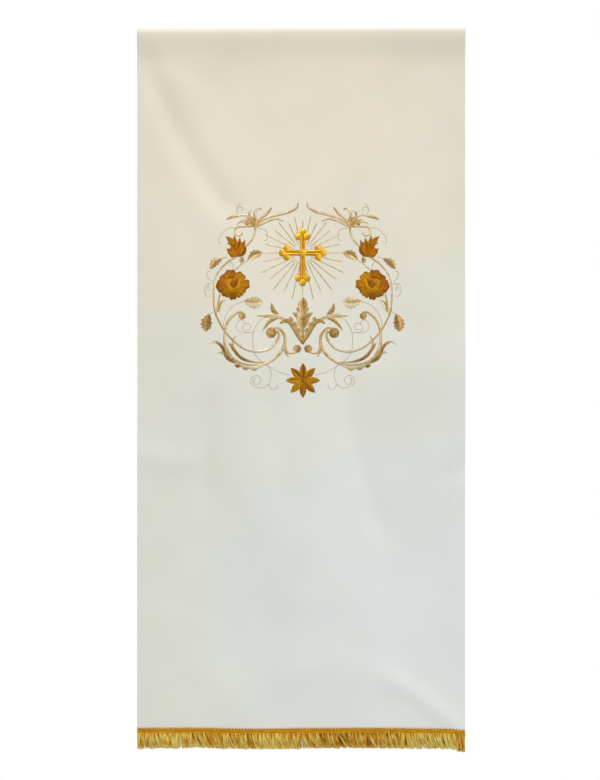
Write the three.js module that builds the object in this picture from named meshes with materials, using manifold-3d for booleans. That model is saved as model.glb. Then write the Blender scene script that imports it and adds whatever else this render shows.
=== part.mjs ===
// Ambo cloth: an ivory panel that hangs face on from a rail, turned over at its top,
// with a gold brush fringe sewn along its lower hem. Millimetres, +Z up, the face towards -Y.
// The origin is where the turn-over rests on the rail, in the middle of the cloth's width.

import * as THREE from "three";
import { mergeVertices } from "three/addons/utils/BufferGeometryUtils.js";
import Module from "manifold-3d";

const wasm = await Module();
wasm.setup();

// Driving dimensions of the panel
const WIDTH = 500; // finished width
const DROP = 1097; // crest of the turn-over to the fringe's tips
const FLAP = 95; // how far the turned-over end hangs down behind
const SHEET = 1.2; // thickness of the cloth
const RAIL_RADIUS = 7.4; // inside radius of the turn-over
const SETBACK = 6.6; // how far the front falls back under the turn-over
const SETBACK_DEPTH = 30; // depth over which it does most of that
const SETBACK_EASE = 1.7; // how gently it begins
const FOLD_FADE = 80; // depth below the turn-over where the folds reach their full height
const FOLD_END = 1.6; // how fast a fold fades past its ends, in half widths

// The fringe: a braided heading and the locks of strands that hang from it
const FRINGE_LENGTH = 31;
const HEADING_HEIGHT = 7;
const HEADING_SHEET = 1.6;
const HEADING_OVERLAP = 5; // how much of the heading lies on the panel
const HEADING_GAP = 0.4; // air between the heading and the panel
const LOCK_COUNT = 150;
const LOCK_WIDTH = 2.1;
const LOCK_DEPTH = 2.6; // of the spread strands, below the heading
const LOCK_ROOT_DEPTH = 0.9; // of the same strands where the braid binds them
const LOCK_ROOT = 1.9; // length of a lock's root inside the heading
const LOCK_BULGE = 0.9; // how far the strands belly forward
const LOCK_SCATTER = 0.4; // how far a tip stands before or behind its neighbours
const TUFT_LOCKS = 5; // the loose tuft at the right-hand end
const TUFT_DROP = 1.6;

// Unevenness of the lower hem
const HEM_WAVE = 0.8;
const HEM_WAVE_CREST = -50; // where the hem hangs lowest, away from the corner
const HEM_WAVE_RADIUS = 45; // wave length over two pi
const HEM_REACH = 6; // the higher, the closer to the hem the unevenness stays
const CORNER_DROOP = 2.2;
const CORNER_REACH = 24;

// Divisions of the sheet, with the front's rows crowded towards the turn-over
const COLUMNS = 34;
const FLAP_ROWS = 5;
const BEND_ROWS = 8;
const FRONT_ROWS = 48;
const ROW_CROWDING = 1.2;

// Places worked out from the sizes above
const BEND_RADIUS = RAIL_RADIUS + SHEET / 2; // middle of the sheet's thickness
const BEND_CENTRE = -RAIL_RADIUS;
const HEADING_TOP = -(DROP - FRINGE_LENGTH);
const HEADING_STANDOFF = SHEET / 2 + HEADING_GAP + HEADING_SHEET / 2;

// Soft folds of the hanging front. Each runs from (x0, z0) to (x1, z1), bowed sideways by bow,
// with the half width and the height of its swell. A negative height is a trough.
const FOLDS = [
  { name: "corner tension fold", x0: -236, z0: -46, x1: -122, z1: -262, bow: 10, half: 24, height: -2.8 },
  { name: "hollow beside that fold", x0: -268, z0: -110, x1: -172, z1: -320, bow: 8, half: 48, height: -2.2 },
  { name: "corner gather", x0: -226, z0: -40, x1: -146, z1: -76, bow: -5, half: 20, height: -1.2 },
  { name: "left upright trough", x0: -143, z0: -596, x1: -147, z1: -690, bow: 3, half: 24, height: -2.6 },
  { name: "left edge crease", x0: -262, z0: -652, x1: -178, z1: -672, bow: 5, half: 18, height: 1.4 },
  { name: "middle trough", x0: -44, z0: -580, x1: -32, z1: -710, bow: -4, half: 24, height: -1.8 },
  { name: "right slanting trough", x0: 70, z0: -540, x1: 112, z1: -740, bow: 6, half: 24, height: -2.4 },
  { name: "right edge dent", x0: 262, z0: -660, x1: 228, z1: -676, bow: 0, half: 16, height: -1.4 },
  { name: "right hanging break", x0: 110, z0: -520, x1: 262, z1: -512, bow: 0, half: 52, height: 2.2 },
  { name: "small lower swell", x0: -6, z0: -866, x1: 52, z1: -876, bow: 0, half: 30, height: 0.9 },
  { name: "lower arching swell", x0: -66, z0: -1004, x1: 130, z1: -992, bow: -26, half: 34, height: 1.3 },
  { name: "lower right crease", x0: 118, z0: -994, x1: 232, z1: -1066, bow: -8, half: 21, height: 2.2 },
  { name: "lower left swell", x0: -172, z0: -940, x1: -70, z1: -1076, bow: 0, half: 38, height: 2 },
  { name: "upper right swell", x0: 190, z0: -90, x1: 206, z1: -420, bow: 0, half: 46, height: 2 },
];

// Long shallow waves across the width. Each leans sideways by lean for every millimetre down.
const WAVES = [
  { length: 310, height: 1.6, phase: 0.6, lean: 0.34 },
  { length: 147, height: 0.8, phase: 2.1, lean: -0.34 },
];

const clamp = (value, low, high) => Math.min(high, Math.max(low, value));
const clamp01 = (t) => clamp(t, 0, 1);
const smooth = (t) => clamp01(t) ** 2 * (3 - 2 * clamp01(t));
const mix = (a, b, t) => a + (b - a) * t;
const sum = (values) => values.reduce((total, value) => total + value, 0);

// One fold's swell at a point of the front: a rounded ridge that fades out at its two ends.
function foldSwell(fold, x, z) {
  const runX = fold.x1 - fold.x0;
  const runZ = fold.z1 - fold.z0;
  const run = Math.hypot(runX, runZ);
  const along = ((x - fold.x0) * runX + (z - fold.z0) * runZ) / run ** 2;
  const aside = ((x - fold.x0) * runZ - (z - fold.z0) * runX) / run;
  const bowed = 4 * fold.bow * along * (1 - along);
  const past = (along - clamp01(along)) * run;
  const distance = Math.hypot((aside - bowed) / fold.half, past / (FOLD_END * fold.half));
  return fold.height * Math.exp(-(distance ** 2));
}

function waveSwell(wave, x, z) {
  return wave.height * Math.sin((2 * Math.PI * (x + wave.lean * z)) / wave.length + wave.phase);
}

// How far the front stands towards the viewer at a point, from all its folds and waves.
function frontSwell(x, z) {
  const below = Math.max(0, BEND_CENTRE - z);
  const folds = sum(FOLDS.map((fold) => foldSwell(fold, x, z)));
  const waves = sum(WAVES.map((wave) => waveSwell(wave, x, z)));
  const setback = SETBACK * (1 - Math.exp(-((below / SETBACK_DEPTH) ** SETBACK_EASE)));
  return (folds + waves) * smooth(below / FOLD_FADE) - setback;
}

// The hem isn't quite level: it waves a little and droops at the right-hand corner.
function hemDroop(x) {
  const wave = HEM_WAVE * Math.cos((x - HEM_WAVE_CREST) / HEM_WAVE_RADIUS);
  const corner = CORNER_DROOP * smooth((x - WIDTH / 2 + CORNER_REACH) / CORNER_REACH);
  return wave + corner;
}

// Points on the middle of the sheet's thickness, for each stretch of its cut length.
function flapPoint(x, t) {
  return new THREE.Vector3(x, BEND_RADIUS, mix(-FLAP, BEND_CENTRE, t));
}

function bendPoint(x, t) {
  const angle = Math.PI * t;
  return new THREE.Vector3(x, BEND_RADIUS * Math.cos(angle), BEND_CENTRE + BEND_RADIUS * Math.sin(angle));
}

function frontPoint(x, t) {
  const share = Math.max(0, t) ** ROW_CROWDING;
  const z = mix(BEND_CENTRE, HEADING_TOP, share);
  return new THREE.Vector3(x, -BEND_RADIUS - frontSwell(x, z), z - hemDroop(x) * share ** HEM_REACH);
}

// From the heading's top edge the hem hangs straight, so the heading lies flat against it.
function hemPoint(x, below) {
  const top = frontPoint(x, 1);
  return top.setZ(top.z - below);
}

// Rows of the sheet, from the flap's free edge over the rail to the hem.
function sheetRows() {
  const rows = [];
  for (let i = 0; i < FLAP_ROWS; i++) rows.push({ point: flapPoint, t: i / FLAP_ROWS });
  for (let i = 0; i < BEND_ROWS; i++) rows.push({ point: bendPoint, t: i / BEND_ROWS });
  for (let i = 0; i < FRONT_ROWS; i++) rows.push({ point: frontPoint, t: i / FRONT_ROWS });
  rows.push({ point: hemPoint, t: 0 });
  rows.push({ point: hemPoint, t: HEADING_OVERLAP });
  return rows;
}

// The outward normal of the sheet, from points a little to each side.
function sheetNormal(x, row) {
  const step = 0.5;
  const share = 0.002;
  const across = row.point(x + step, row.t).sub(row.point(x - step, row.t));
  const down = row.point(x, row.t + share).sub(row.point(x, row.t - share));
  return down.cross(across).normalize();
}

// Keeps only the corners' places, so that faces which meet share them.
function welded(geometry) {
  const bare = geometry.clone();
  bare.deleteAttribute("normal");
  bare.deleteAttribute("uv");
  return mergeVertices(bare, 1e-4);
}

// Moves every vertex of a geometry by a function of its place.
function bent(geometry, place) {
  const position = geometry.getAttribute("position");
  for (let i = 0; i < position.count; i++) {
    const at = place(new THREE.Vector3().fromBufferAttribute(position, i));
    position.setXYZ(i, at.x, at.y, at.z);
  }
  return geometry;
}

// The panel is a flat cut sheet, one division for each row, laid over the rail.
function panelGeometry() {
  const rows = sheetRows();
  const last = rows.length - 1;
  const flat = welded(new THREE.BoxGeometry(WIDTH, last, SHEET, COLUMNS, last, 1));
  return bent(flat, (p) => {
    const row = rows[Math.round(last / 2 - p.y)];
    return row.point(p.x, row.t).addScaledVector(sheetNormal(p.x, row), p.z);
  });
}

function solidOf(geometry) {
  const mesh = welded(geometry);
  return new wasm.Manifold(new wasm.Mesh({
    numProp: 3,
    vertProperties: new Float32Array(mesh.getAttribute("position").array),
    triVerts: new Uint32Array(mesh.index.array),
  }));
}

function geometryOf(solid) {
  const { vertProperties, triVerts } = solid.getMesh();
  const geometry = new THREE.BufferGeometry();
  geometry.setAttribute("position", new THREE.BufferAttribute(vertProperties, 3));
  geometry.setIndex(new THREE.BufferAttribute(triVerts, 1));
  geometry.computeVertexNormals();
  return geometry;
}

// A point of the heading, out from the face of the hem.
function headingPoint(x, below, out) {
  const normal = sheetNormal(x, { point: hemPoint, t: 0 });
  return hemPoint(x, below).addScaledVector(normal, HEADING_STANDOFF + out);
}

// The heading's braid, a flat strip against the face of the hem.
function headingGeometry() {
  const flat = welded(new THREE.BoxGeometry(WIDTH, HEADING_HEIGHT, HEADING_SHEET, COLUMNS, 1, 1));
  return bent(flat, (p) => headingPoint(p.x, HEADING_HEIGHT / 2 - p.y, p.z));
}

// How far a lock's tip swings sideways for each millimetre that it hangs.
function lockLean(x) {
  return 0.05 + 0.1 * Math.sin(x / 34 + 0.8) + 0.07 * Math.sin(x / 15);
}

function lockLength(index) {
  const uneven = 0.9 * Math.sin(index * 2.4) + 0.5 * Math.sin(index * 0.71) - 1;
  const tuft = index >= LOCK_COUNT - TUFT_LOCKS ? TUFT_DROP : 0;
  return FRINGE_LENGTH - HEADING_HEIGHT + LOCK_ROOT + uneven + tuft;
}

// One lock of fringe: a four-sided length of strands, bound flat at its root and full below.
function lockGeometry(index) {
  const x = ((index + 0.5) / LOCK_COUNT - 0.5) * WIDTH;
  const edge = (WIDTH - LOCK_WIDTH) / 2;
  const root = headingPoint(x, HEADING_HEIGHT - LOCK_ROOT, 0);
  const length = lockLength(index);
  const prism = new THREE.CylinderGeometry(Math.SQRT1_2, Math.SQRT1_2, length, 4, 2);
  prism.rotateY(Math.PI / 4);
  prism.rotateX(Math.PI / 2);
  return bent(welded(prism), (p) => {
    const share = 0.5 - p.z / length;
    const sideways = clamp(root.x + lockLean(x) * share ** 2 * length, -edge, edge);
    const depth = mix(LOCK_ROOT_DEPTH, LOCK_DEPTH, smooth(2 * share));
    const forward = LOCK_BULGE * Math.sin(Math.PI * share) + LOCK_SCATTER * Math.sin(index * 1.7) * share;
    return new THREE.Vector3(
      sideways + p.x * LOCK_WIDTH,
      root.y - forward + p.y * depth,
      root.z - share * length,
    );
  });
}

function fringeGeometry() {
  const pieces = [solidOf(headingGeometry())];
  for (let i = 0; i < LOCK_COUNT; i++) pieces.push(solidOf(lockGeometry(i)));
  return geometryOf(wasm.Manifold.union(pieces));
}

const IVORY_CLOTH = new THREE.MeshStandardMaterial({ color: 0xe6e1d3, roughness: 0.62, metalness: 0 });
const GOLD_FRINGE = new THREE.MeshStandardMaterial({ color: 0xc39a2f, roughness: 0.4, metalness: 0.25 });

function named(name, geometry, material) {
  const mesh = new THREE.Mesh(geometry, material);
  mesh.name = name;
  return mesh;
}

const amboCloth = new THREE.Group();
amboCloth.add(named("panel", panelGeometry(), IVORY_CLOTH));
amboCloth.add(named("fringe", fringeGeometry(), GOLD_FRINGE));

export default amboCloth;
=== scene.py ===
import math

import bpy
import numpy as np
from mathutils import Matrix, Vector


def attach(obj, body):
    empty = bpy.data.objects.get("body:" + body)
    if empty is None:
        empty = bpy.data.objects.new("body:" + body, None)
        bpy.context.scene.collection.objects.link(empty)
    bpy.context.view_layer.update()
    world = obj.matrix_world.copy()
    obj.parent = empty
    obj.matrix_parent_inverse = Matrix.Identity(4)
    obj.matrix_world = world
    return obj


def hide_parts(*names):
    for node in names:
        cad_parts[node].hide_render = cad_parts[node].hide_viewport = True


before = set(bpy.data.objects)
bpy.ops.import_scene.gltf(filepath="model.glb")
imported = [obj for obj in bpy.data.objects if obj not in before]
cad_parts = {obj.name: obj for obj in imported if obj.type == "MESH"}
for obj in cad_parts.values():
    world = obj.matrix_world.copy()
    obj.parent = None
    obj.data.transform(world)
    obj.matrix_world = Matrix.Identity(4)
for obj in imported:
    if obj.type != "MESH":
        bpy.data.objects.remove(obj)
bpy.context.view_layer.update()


# The panel: one cut length of ivory cloth with a dull satin face, turned over a rail at its top.
# Its sides and both ends are turned in and stitched down, and it hangs by its own weight, so a few
# soft folds run down from its upper left corner and across its lower half.
MM = 0.001
WIDTH = 0.500
FLAP = 0.095
SHEET = 0.0012
RAIL_RADIUS = 0.0074
BEND_RADIUS = RAIL_RADIUS + SHEET / 2
BEND_CENTRE = -RAIL_RADIUS
HEADING_TOP = -1.066
HEADING_OVERLAP = 0.005
CREST_ROUND = (2.2, 4.0)  # how square the crest is at the left edge and at the right one
CREST_STEPS = 24
SETBACK = 0.0066
SETBACK_DEPTH = 0.030
SETBACK_EASE = 1.7
FOLD_FADE = 0.080
FOLD_END = 1.6
HEM_WIDTH = 0.026
HEM_STEP = 0.0008
HEM_RAMP = 0.0012
HEM_GROOVE = 0.00006
FLAP_HEM = 0.015
FOOT_HEM = 0.022
EDGE_ROUND = 0.0003
GRID_STEP = 0.0044

# Each fold runs from (x0, z0) to (x1, z1), bowed sideways, with the half width and the height of
# its swell, all in millimetres. A negative height is a trough.
FOLDS = {
    # name: x0, z0, x1, z1, bow, half, height
    "corner tension fold": (-236, -46, -122, -262, 10, 21, -4.0),
    "hollow beside that fold": (-268, -110, -172, -320, 8, 48, -2.2),
    "corner gather": (-226, -40, -146, -76, -5, 20, -1.5),
    "shade under the corner": (-255, -30, -190, -38, 0, 62, 3.2),
    "left upright trough": (-143, -586, -147, -690, 3, 22, -3.0),
    "left edge crease": (-262, -640, -178, -657, 5, 18, 1.4),
    "middle trough": (-44, -580, -32, -710, -4, 24, -1.8),
    "right slanting trough": (70, -540, 112, -740, 6, 22, -2.8),
    "right edge dent": (262, -660, 228, -676, 0, 16, -1.4),
    "right hanging break": (110, -520, 262, -512, 0, 52, 2.2),
    "small lower swell": (-6, -866, 52, -876, 0, 30, 0.9),
    "lower arching swell": (-66, -1004, 130, -992, -26, 34, 1.3),
    "lower right crease": (150, -998, 236, -1064, -3, 16, 2.2),
    "lower left swell": (-172, -940, -70, -1076, 0, 38, 2.0),
    "upper right swell": (190, -90, 206, -420, 0, 46, 2.0),
}

# Long shallow waves across the width, each leaning sideways as it goes down.
WAVES = {
    # name: length, height, phase, lean
    "broad wave": (310, 1.6, 0.6, 0.34),
    "short wave": (147, 0.8, 2.1, -0.34),
}

HEM_WAVE = 0.0008
HEM_WAVE_CREST = -0.050
HEM_WAVE_RADIUS = 0.045
HEM_REACH = 6
CORNER_DROOP = 0.0022
CORNER_REACH = 0.024


def smooth(t):
    t = np.clip(t, 0.0, 1.0)
    return t * t * (3.0 - 2.0 * t)


def fold_swell(x, z, x0, z0, x1, z1, bow, half, height):
    """One fold's swell, a rounded ridge that fades out at its two ends. All in millimetres."""
    run = math.hypot(x1 - x0, z1 - z0)
    along = ((x - x0) * (x1 - x0) + (z - z0) * (z1 - z0)) / run**2
    aside = ((x - x0) * (z1 - z0) - (z - z0) * (x1 - x0)) / run
    bowed = 4.0 * bow * along * (1.0 - along)
    past = (along - np.clip(along, 0.0, 1.0)) * run
    distance = np.hypot((aside - bowed) / half, past / (FOLD_END * half))
    return height * np.exp(-(distance**2))


def wave_swell(x, z, length, height, phase, lean):
    return height * np.sin(2.0 * np.pi * (x + lean * z) / length + phase)


def front_swell(x, z):
    """How far the hanging front stands towards the viewer, from its folds, waves and hem lines."""
    x_mm, z_mm = x / MM, z / MM
    below = np.maximum(BEND_CENTRE - z, 0.0)
    swell = sum(fold_swell(x_mm, z_mm, *fold) for fold in FOLDS.values())
    swell = swell + sum(wave_swell(x_mm, z_mm, *wave) for wave in WAVES.values())
    hem_line = np.exp(-(((np.abs(x) - WIDTH / 2 + HEM_WIDTH) / (2 * HEM_RAMP)) ** 2))
    setback = SETBACK * (1.0 - np.exp(-((below / SETBACK_DEPTH) ** SETBACK_EASE)))
    return (MM * swell - HEM_GROOVE * hem_line) * smooth(below / FOLD_FADE) - setback


def hem_droop(x):
    wave = HEM_WAVE * np.cos((x - HEM_WAVE_CREST) / HEM_WAVE_RADIUS)
    return wave + CORNER_DROOP * smooth((x - WIDTH / 2 + CORNER_REACH) / CORNER_REACH)


def front_place(x, z):
    """Points in the middle of the sheet's thickness, for places on the hanging front."""
    share = np.clip((BEND_CENTRE - z) / (BEND_CENTRE - HEADING_TOP), 0.0, 1.0)
    return np.stack([x, -BEND_RADIUS - front_swell(x, z), z - hem_droop(x) * share**HEM_REACH], axis=-1)


def front_facing(x, z):
    """The way that the front's face looks at those places."""
    step = 0.0005
    across = front_place(x + step, z) - front_place(x - step, z)
    down = front_place(x, z - step) - front_place(x, z + step)
    facing = np.cross(down, across)
    return facing / np.linalg.norm(facing, axis=-1, keepdims=True)


def panel_columns():
    """Places across the width: even steps, with a few more where the side hems end."""
    hem = WIDTH / 2 - HEM_WIDTH
    inner = np.linspace(-hem, hem, round(2 * hem / GRID_STEP) + 1)
    side = np.linspace(hem + HEM_RAMP, WIDTH / 2 - 2 * HEM_RAMP, round(HEM_WIDTH / GRID_STEP))
    edge = [WIDTH / 2 - HEM_RAMP, WIDTH / 2 - EDGE_ROUND, WIDTH / 2]
    side = np.concatenate([side, edge])
    return np.concatenate([-side[::-1], inner, side])


def panel_rows(x):
    """Rows of points from the flap's free edge over the rail to the foot, with their cut length."""
    def level_row(y, z):
        return np.stack([x, np.zeros_like(x) + y, np.zeros_like(x) + z], axis=-1)

    flap_z = np.linspace(-FLAP, BEND_CENTRE, round(FLAP / GRID_STEP), endpoint=False)
    flap_z = np.insert(flap_z, 1, -FLAP + EDGE_ROUND)
    rows = [level_row(BEND_RADIUS, z) for z in flap_z]
    round_left, round_right = CREST_ROUND
    power = 2.0 / (round_left + (round_right - round_left) * smooth(0.5 + x / WIDTH))
    for angle in np.linspace(0.0, math.pi, CREST_STEPS, endpoint=False):
        bend = power if angle > math.pi / 2 else 1.0
        out = math.copysign(1.0, math.cos(angle)) * abs(math.cos(angle)) ** bend
        rows.append(level_row(BEND_RADIUS * out, BEND_CENTRE + BEND_RADIUS * math.sin(angle) ** bend))
    front_rows = round((BEND_CENTRE - HEADING_TOP) / GRID_STEP)
    rows += [front_place(x, np.full_like(x, z)) for z in np.linspace(BEND_CENTRE, HEADING_TOP, front_rows)]
    foot = rows[-1]
    for below in (HEADING_OVERLAP / 2, HEADING_OVERLAP - EDGE_ROUND, HEADING_OVERLAP):
        rows.append(foot - np.array([0.0, 0.0, below]))
    points = np.stack(rows)
    steps = np.linalg.norm(np.diff(points, axis=0), axis=2).mean(axis=1)
    return points, np.concatenate([[0.0], np.cumsum(steps)])


def loop_walls(loops):
    """The faces between each loop of points and the next, with the numbers of the loops' points."""
    rows, around = loops.shape[:2]
    index = np.arange(rows * around).reshape(rows, around)
    turned = np.roll(index, -1, axis=1)
    return np.stack([index[:-1], turned[:-1], turned[1:], index[1:]], axis=-1).reshape(-1, 4), index


def panel_mesh():
    """A closed sheet: each row is one loop round the cloth, out along its face and back behind."""
    x = panel_columns()
    points, cut = panel_rows(x)
    down, across = np.gradient(points, axis=0), np.gradient(points, axis=1)
    facing = np.cross(down, across)
    facing /= np.linalg.norm(facing, axis=2, keepdims=True)
    side_hem = smooth((np.abs(x) - WIDTH / 2 + HEM_WIDTH) / HEM_RAMP)[None, :]
    foot_hem = smooth((cut - cut[-1] + FOOT_HEM) / HEM_RAMP)
    end_hem = np.maximum(smooth((FLAP_HEM - cut) / HEM_RAMP), foot_hem)
    behind = SHEET / 2 + HEM_STEP * np.maximum(side_hem, end_hem[:, None])
    tuck = np.where(np.abs(x) == WIDTH / 2, 2 * EDGE_ROUND, 0.0)[None, :, None]
    face = points + facing * (SHEET / 2 - tuck)
    back = points - facing * (behind[..., None] - tuck)
    loops = np.concatenate([face, back[:, ::-1]], axis=1)
    walls, index = loop_walls(loops)
    rows, around = index.shape
    half = around // 2
    ends = []
    for row, order in ((index[0], 1), (index[-1], -1)):
        far = row[::-1]
        strip = np.stack([row[: half - 1], far[: half - 1], far[1:half], row[1:half]], axis=-1)
        ends.append(strip[:, ::order])
    faces = np.concatenate([walls, *ends])[:, ::-1]
    mesh = bpy.data.meshes.new("panel_cloth")
    mesh.from_pydata(loops.reshape(-1, 3).tolist(), [], faces.tolist())
    places = np.stack([np.tile(np.concatenate([x, x[::-1]]), rows), np.repeat(cut, around)], axis=-1)
    corners = np.empty(len(mesh.loops), dtype=np.int32)
    mesh.loops.foreach_get("vertex_index", corners)
    mesh.uv_layers.new(name="cut").uv.foreach_set("vector", places[corners].astype(np.float32).ravel())
    mesh.shade_smooth()
    return mesh, cut[-1]


def operator(operation):
    """A Math node's operation as a Python operator, and the same one with its two sides swapped."""
    def forward(wire, other):
        return wire.math(operation, wire, other)

    def backward(wire, other):
        return wire.math(operation, other, wire)

    return forward, backward


class Wire:
    """A socket of a node tree that works in Python expressions: each operation adds a Math node."""

    def __init__(self, tree, socket=None):
        self.tree = tree
        self.socket = socket

    def add(self, kind, values=None, output=0, **settings):
        """Adds a node: its settings or its ramp's stops first, then its sockets' values or links."""
        node = self.tree.nodes.new(kind)
        for name, value in settings.items():
            if name == "stops":
                self.set_stops(node.color_ramp.elements, value)
            else:
                setattr(node, name, value)
        self.fill(node, values or {})
        return Wire(self.tree, node.outputs[output])

    def fill(self, node, values):
        """Sets or links a node's sockets, by their names or numbers."""
        for name, value in values.items():
            if isinstance(value, Wire):
                self.tree.links.new(value.socket, node.inputs[name])
            else:
                node.inputs[name].default_value = value

    def keep(self, geometry, name, value, kind="FLOAT", domain="POINT"):
        """Stores a value on each point or corner of a geometry, under a name."""
        values = {"Geometry": geometry, "Name": name, "Value": value}
        return self.add("GeometryNodeStoreNamedAttribute", values, data_type=kind, domain=domain)

    def kept(self, name, kind="FLOAT"):
        return self.add("GeometryNodeInputNamedAttribute", {"Name": name}, data_type=kind)

    def part(self, number):
        """One of the three numbers of a place, counted from 0."""
        return self.add("ShaderNodeSeparateXYZ", {0: self}, number)

    def set_stops(self, elements, stops):
        """Sets a ramp's stops, each a place from 0 to 1 and a colour."""
        while len(elements) < len(stops):
            elements.new(1.0)
        for element, (place, colour) in zip(elements, stops):
            element.position = place
            element.color = (*linear(*colour), 1.0)

    def ramp(self, stops):
        return self.add("ShaderNodeValToRGB", {"Fac": self}, stops=stops)

    def math(self, operation, first, second=0.0):
        return self.add("ShaderNodeMath", {0: first, 1: second}, operation=operation)

    __add__, __radd__ = operator("ADD")
    __sub__, __rsub__ = operator("SUBTRACT")
    __mul__, __rmul__ = operator("MULTIPLY")
    __truediv__, __rtruediv__ = operator("DIVIDE")
    __pow__, __rpow__ = operator("POWER")


def linear(red, green, blue):
    """A colour given in the usual 0 to 255 steps, as the shader's own light values."""
    shares = (channel / 255.0 for channel in (red, green, blue))
    return tuple(s / 12.92 if s <= 0.04045 else ((s + 0.055) / 1.055) ** 2.4 for s in shares)


def new_finish(name):
    material = bpy.data.materials.new(name)
    material.use_nodes = True
    return material, material.node_tree.nodes["Principled BSDF"], Wire(material.node_tree)


def ivory_cloth_finish():
    """Ivory satin: fine warp and weft, faint slubs and a soft uneven tint, with a dull sheen."""
    material, shader, wire = new_finish("ivory_cloth")
    thread_pitch = 0.00042
    place = wire.add("ShaderNodeUVMap", uv_map="cut")
    across, down = place.part(0), place.part(1)
    warp = wire.math("SINE", across * (math.pi / thread_pitch))
    weft = wire.math("SINE", down * (math.pi / thread_pitch))
    slub_place = wire.add("ShaderNodeMapping", {"Vector": place, "Scale": (900.0, 90.0, 1.0)})
    slub = wire.add("ShaderNodeTexNoise", {"Vector": slub_place, "Scale": 1.0, "Detail": 3.0})
    cloud = wire.add("ShaderNodeTexNoise", {"Vector": place, "Scale": 9.0, "Detail": 2.0})
    height = warp * weft * 0.5 + slub * 0.8
    bump = wire.add("ShaderNodeBump", {"Height": height, "Strength": 0.22, "Distance": 0.00012})
    wire.fill(shader, {
        "Base Color": cloud.ramp([(0.3, (232, 229, 212)), (0.7, (236, 233, 217))]),
        "Roughness": 0.46 + 0.12 * slub,
        "Normal": bump,
        "Sheen Weight": 0.04,
        "Sheen Roughness": 0.4,
        "Specular IOR Level": 0.2,
    })
    return material


def new_piece(name, mesh):
    """An object at the origin that hangs with the cloth."""
    piece = bpy.data.objects.new(name, mesh)
    bpy.context.collection.objects.link(piece)
    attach(piece, "root")
    return piece


cloth_mesh, cut_length = panel_mesh()
cloth_mesh.materials.append(ivory_cloth_finish())
panel_cloth = new_piece("panel_cloth", cloth_mesh)
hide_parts("panel")


# The hem stitching: a row of short machine stitches in ivory thread that holds each turned-in side.
# It shows as a fine dotted line down the face, a hem's width in from the edge.
HEM_STITCH = 0.0024
HEM_STITCH_PITCH = 0.0032
HEM_STITCH_INSET = 0.0022
HEM_THREAD_RADIUS = 0.00016
HEM_STITCH_LOFT = 0.0002
HEM_STITCH_TONE = 0.5
HEM_STITCH_START = 0.012
HEM_STITCH_STOP = 0.004
STITCH_SINK = 0.00012
TONE_SHARE = 0.94
AROUND_SHARE = 0.06
# How dark the painted shade at a thread's ends gets, as a share of its darkest colour.
PAINTED_SHADE_DARKNESS = 0.55


def socket_of(tree, name):
    return next(item.identifier for item in tree.interface.items_tree if item.name == name)


def new_tree(name, sizes):
    """An empty tree that takes a geometry and the named sizes, with the wires of those inputs."""
    tree = bpy.data.node_groups.new(name, "GeometryNodeTree")
    for size, kind in {"Geometry": "Geometry", **sizes}.items():
        tree.interface.new_socket(size, in_out="INPUT", socket_type="NodeSocket" + kind)
    tree.interface.new_socket("Result", in_out="OUTPUT", socket_type="NodeSocketGeometry")
    given = tree.nodes.new("NodeGroupInput").outputs
    return Wire(tree), [Wire(tree, socket) for socket in given[: len(sizes) + 1]]


def spin_thread(wire, run, radius, sides, tone, finish):
    """Rounds a curve into thread with closed ends, and hands it out as the tree's result.

    The thread's map holds its tone across and the share of its length along.
    """
    run = wire.keep(run, "along", wire.add("GeometryNodeSplineParameter"))
    ring = wire.add("GeometryNodeCurvePrimitiveCircle", {"Resolution": sides, "Radius": radius})
    ring = wire.keep(ring, "around", wire.add("GeometryNodeSplineParameter"))
    section = {"Curve": run, "Profile Curve": ring, "Fill Caps": True}
    thread = wire.add("GeometryNodeCurveToMesh", section)
    across = TONE_SHARE * tone + AROUND_SHARE * wire.kept("around")
    place = wire.add("ShaderNodeCombineXYZ", {"X": across, "Y": wire.kept("along")})
    thread = wire.keep(thread, "OFBake", place, "FLOAT2", "CORNER")
    thread = wire.add("GeometryNodeRealizeInstances", {"Geometry": thread})
    thread = wire.add("GeometryNodeSetShadeSmooth", {"Geometry": thread})
    thread = wire.add("GeometryNodeSetMaterial", {"Geometry": thread, "Material": finish})
    wire.fill(wire.tree.nodes.new("NodeGroupOutput"), {0: thread})


def stitch_tree():
    """Turns each edge of a mesh into one stitch, an arched length of thread.

    The mesh's points carry the way the cloth faces, how far the stitch arches and its tone.
    """
    sizes = {"Thread Radius": "Float", "Points": "Int", "Sides": "Int", "Finish": "Material"}
    wire, (edges, radius, points, sides, finish) = new_tree("thread_stitches", sizes)
    run = wire.add("GeometryNodeMeshToCurve", {"Mesh": edges})
    run = wire.add("GeometryNodeResampleCurve", {"Curve": run, "Count": points}, mode="COUNT")
    share = wire.add("GeometryNodeSplineParameter")
    arch = 4.0 * share * (1.0 - share) * wire.kept("loft")
    facing = wire.kept("facing", "FLOAT_VECTOR")
    lift = wire.add("ShaderNodeVectorMath", {0: facing, "Scale": arch}, operation="SCALE")
    run = wire.add("GeometryNodeSetPosition", {"Geometry": run, "Offset": lift})
    spin_thread(wire, run, radius, sides, wire.kept("tone"), finish)
    return wire.tree


def grown(name, mesh, tree, sizes):
    """Runs a tree on a mesh with the given sizes, and keeps what it makes as a plain piece."""
    carrier = bpy.data.objects.new(name, mesh)
    bpy.context.collection.objects.link(carrier)
    modifier = carrier.modifiers.new(tree.name, "NODES")
    modifier.node_group = tree
    for size, value in sizes.items():
        modifier[socket_of(tree, size)] = value
    graph = bpy.context.evaluated_depsgraph_get()
    made = bpy.data.meshes.new_from_object(
        carrier.evaluated_get(graph), preserve_all_data_layers=True, depsgraph=graph
    )
    bpy.data.objects.remove(carrier)
    made.name = name
    return new_piece(name, made)


THREAD_STITCHES = stitch_tree()


def carry(mesh, name, values):
    """Gives each point of a mesh its own value, under a name."""
    values = np.asarray(values, dtype=np.float32)
    mesh.attributes.new(name, "FLOAT", "POINT").data.foreach_set("value", values)


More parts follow.
